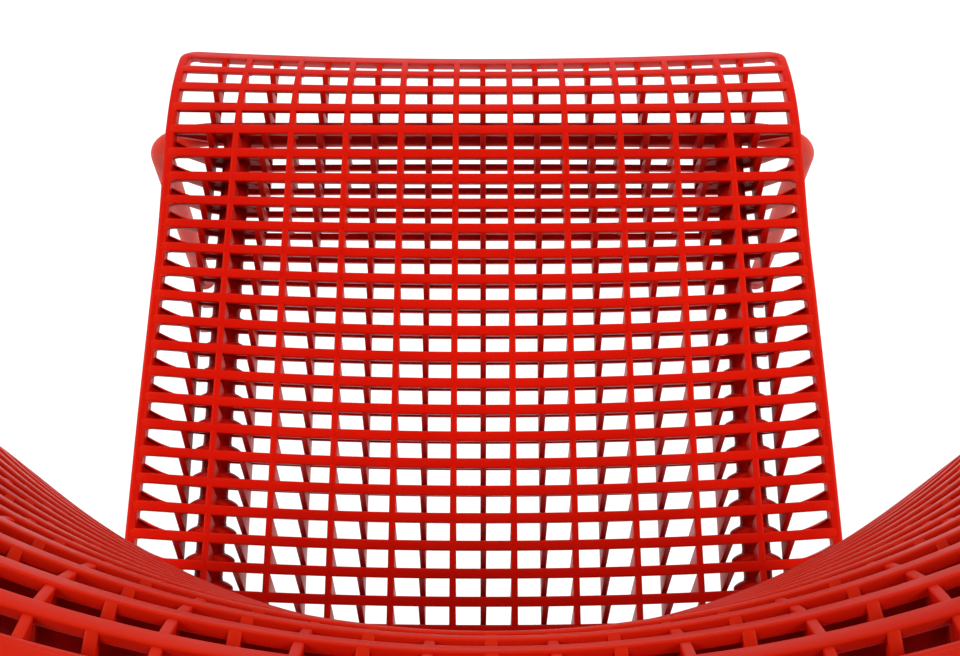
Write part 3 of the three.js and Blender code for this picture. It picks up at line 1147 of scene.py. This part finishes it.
def zinc_plate(name):
    """Bright zinc-plated steel with a brushed, slightly blotchy finish."""
    made, nodes, links, shader = new_material(name)
    coordinates = nodes.new("ShaderNodeTexCoord")
    blotch = add_noise(nodes, links, coordinates, 260.0, 6.0, 0.7)
    blotches = add_range(nodes, links, blotch.outputs["Fac"], 0.0, 1.0)
    colour = add_mix(nodes, links, blotches.outputs["Result"], *ZINC_GREYS)
    links.new(colour, shader.inputs["Base Color"])
    gloss = add_range(nodes, links, blotch.outputs["Fac"], 0.22, 0.42)
    links.new(gloss.outputs["Result"], shader.inputs["Roughness"])
    shader.inputs["Metallic"].default_value = 1.0
    add_bump(nodes, links, shader, [(blotch.outputs["Fac"], 0.2, 0.05)])
    return made


def soft_rubber(name):
    """Red moulded rubber: chalky, finely pitted, dusty in places."""
    made, nodes, links, shader = new_material(name)
    coordinates = nodes.new("ShaderNodeTexCoord")
    dust = add_noise(nodes, links, coordinates, 60.0, 6.0, 0.65)
    pits = add_noise(nodes, links, coordinates, 900.0, 2.0)
    dusty = add_range(nodes, links, dust.outputs["Fac"], 0.0, 1.0, 0.45, 0.8)
    colour = add_mix(nodes, links, dusty.outputs["Result"], *RUBBER_REDS)
    links.new(colour, shader.inputs["Base Color"])
    gloss = add_range(nodes, links, dust.outputs["Fac"], 0.55, 0.85)
    links.new(gloss.outputs["Result"], shader.inputs["Roughness"])
    add_bump(nodes, links, shader, [(pits.outputs["Fac"], 0.35, 0.12)])
    return made


def pale_floor_material():
    """A white light-table: matt and faintly glowing, so no shadow greys it."""
    made, nodes, links, shader = new_material("pale_floor")
    coordinates = nodes.new("ShaderNodeTexCoord")
    cloud = add_noise(nodes, links, coordinates, 2.0)
    clouds = add_range(nodes, links, cloud.outputs["Fac"], 0.0, 1.0)
    colour = add_mix(nodes, links, clouds.outputs["Result"], *FLOOR_GREYS)
    links.new(colour, shader.inputs["Base Color"])
    shader.inputs["Roughness"].default_value = 0.9
    shader.inputs["Emission Color"].default_value = WHITE
    shader.inputs["Emission Strength"].default_value = FLOOR_GLOW
    return made


# ---------- Stage ----------

def add_floor():
    size = FLOOR_HALF
    mesh = bpy.data.meshes.new("floor")
    corners = [(-size, -size, 0), (size, -size, 0), (size, size, 0), (-size, size, 0)]
    mesh.from_pydata(corners, [], [(0, 1, 2, 3)])
    made = bpy.data.objects.new("floor", mesh)
    made.location.z = cad_low.z - FLOOR_GAP
    mesh.materials.append(pale_floor_material())
    bpy.context.scene.collection.objects.link(made)


def add_area(name, place, aim, size, power):
    """A round soft light of a size in metres and a power in watts."""
    light = bpy.data.lights.new(name, "AREA")
    light.shape = "DISK"
    light.size = size
    light.energy = power
    made = bpy.data.objects.new(name, light)
    made.location = place
    made.rotation_mode = "QUATERNION"
    made.rotation_quaternion = (Vector(aim) - Vector(place)).to_track_quat("-Z", "Y")
    bpy.context.scene.collection.objects.link(made)


def add_lights():
    """Soft boxes in front and at the sides, and a sky that is pale at the horizon and dark overhead."""
    middle = (cad_low + cad_high) / 2
    for name, place, size, power in SOFT_BOXES:
        add_area(name, place, middle, size, power)
    world = bpy.data.worlds.new("studio")
    world.use_nodes = True
    nodes = world.node_tree.nodes
    links = world.node_tree.links
    coordinates = nodes.new("ShaderNodeTexCoord")
    split = nodes.new("ShaderNodeSeparateXYZ")
    links.new(coordinates.outputs["Generated"], split.inputs["Vector"])
    fade = add_range(nodes, links, split.outputs["Z"], HORIZON_LIGHT, ZENITH_LIGHT,
                     HORIZON_HEIGHT, ZENITH_HEIGHT)
    links.new(fade.outputs["Result"], nodes["Background"].inputs["Strength"])
    nodes["Background"].inputs["Color"].default_value = WHITE
    bpy.context.scene.world = world
    bpy.context.scene.view_settings.view_transform = "Standard"


def add_camera():
    """Above the back, a little behind it, looking down and forward at the seat."""
    data = bpy.data.cameras.new("camera")
    data.sensor_width = 36.0
    data.lens = CAMERA_LENS
    data.shift_x = CAMERA_SHIFT
    data.clip_start = 0.05
    made = bpy.data.objects.new("camera", data)
    tilt = math.radians(CAMERA_TILT)
    right = Vector((-1, 0, 0))
    up = Vector((0, -math.cos(tilt), math.sin(tilt)))
    towards = Vector((0, math.sin(tilt), math.cos(tilt)))
    turn = Matrix((right, up, towards)).transposed()
    made.matrix_world = Matrix.Translation(from_datum(*CAMERA_OFFSET)) @ turn.to_4x4()
    bpy.context.scene.collection.objects.link(made)
    bpy.context.scene.camera = made


def finish_piece(made, material):
    """Gives a piece its material and attaches it to the root body."""
    made.data.materials.clear()
    made.data.materials.append(material)
    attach(made, "root")


# ---------- The chair ----------

red_plastic = moulded_plastic("red_moulding", SEAT_REDS, 0.44)
# The back uses a darker copy of the seat's red: painted shade.
back_shaded_plastic = moulded_plastic("red_moulding_back_shaded", BACK_SHADED_REDS, 0.44)
red_paint = powder_coat("red_powder_coat", PAINT_REDS, 0.55)
cap_plastic = moulded_plastic("red_plug", CAP_REDS, 0.45)
zinc = zinc_plate("zinc_plate")
foot_plastic = soft_rubber("red_rubber")

finish_piece(make_seat(), red_plastic)
finish_piece(make_back(), back_shaded_plastic)
for tube in (make_front_frame(), make_rear_frame()):
    finish_piece(tube, red_paint)
for hand, side in ((-1, "left"), (1, "right")):
    finish_piece(make_beam(hand, side), red_paint)
    finish_piece(make_post(side), red_paint)
    finish_piece(make_post_cap(side), cap_plastic)
    for place in ("front", "rear"):
        finish_piece(make_glide(f"{place}_{side}"), foot_plastic)
        finish_piece(make_pad(place, side), foot_plastic)
        screw = make_screw(f"{place}_{side}_seat_screw", Vector((0, 0, -1)), f"{place}_{side}_beam_screw")
        finish_piece(screw, zinc)
    for place in ("lower", "middle", "upper"):
        screw = make_screw(f"{place}_{side}_back_screw", Vector((0, 1, 0)), f"{place}_{side}_post_screw")
        finish_piece(screw, zinc)

add_floor()
add_lights()
add_camera()
